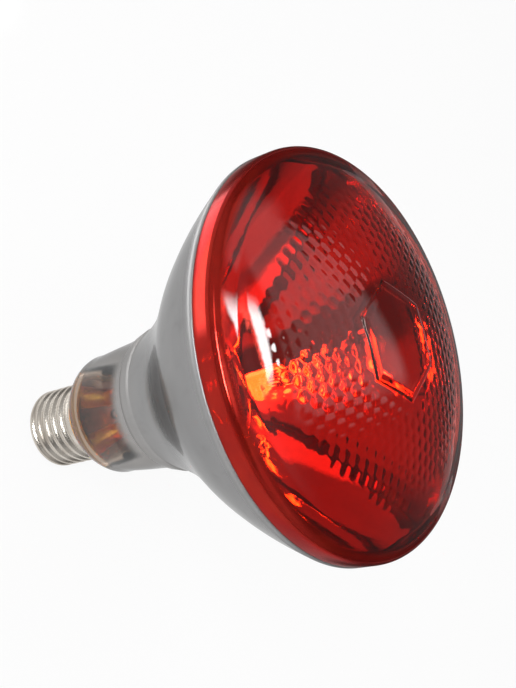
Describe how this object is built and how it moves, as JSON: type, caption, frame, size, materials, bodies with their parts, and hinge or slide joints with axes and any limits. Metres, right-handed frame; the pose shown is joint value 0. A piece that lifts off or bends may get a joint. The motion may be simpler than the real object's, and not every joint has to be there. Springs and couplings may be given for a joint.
{
  "type": "infrared heat lamp bulb",
  "caption": "Pressed glass infrared reflector lamp with a ruby red stippled front lens, silvered bowl and narrow neck, screwed by its plated cap into a lampholder to give radiant heat.",
  "frame": {"origin": "tip of the centre contact, on the lamp's axis", "axes": "+Z runs along the lamp's axis from the cap to the lens; the hexagon's corners lie on X"},
  "size_m": [0.1206, 0.1206, 0.1478],
  "materials": {
    "aluminised_glass": "pressed glass, mirror coated on the inside",
    "red_glass": "glossy ruby glass",
    "clear_glass": "clear glass",
    "copper": "bright copper",
    "lead_metal": "drawn nickel wire",
    "tungsten": "wound wire",
    "nickel_plate": "satin nickel plate on brass",
    "amber_cement": "amber capping cement",
    "black_glass": "glossy black glass",
    "contact_brass": "pressed brass",
    "solder": "dull solder"
  },
  "bodies": {
    "root": {"reflector_bowl": "aluminised_glass", "front_lens": "red_glass", "exhaust_tube": "clear_glass", "lead_ferrule_left": "copper", "lead_ferrule_right": "copper", "centre_feed_wire": "copper", "shell_feed_wire": "copper", "lead_wire_left": "lead_metal", "lead_wire_right": "lead_metal", "filament": "tungsten", "cap_shell": "nickel_plate", "cap_cement": "amber_cement", "cap_insulator": "black_glass", "centre_contact": "contact_brass", "contact_solder": "solder", "side_solder": "solder"}
  },
  "joints": []
}
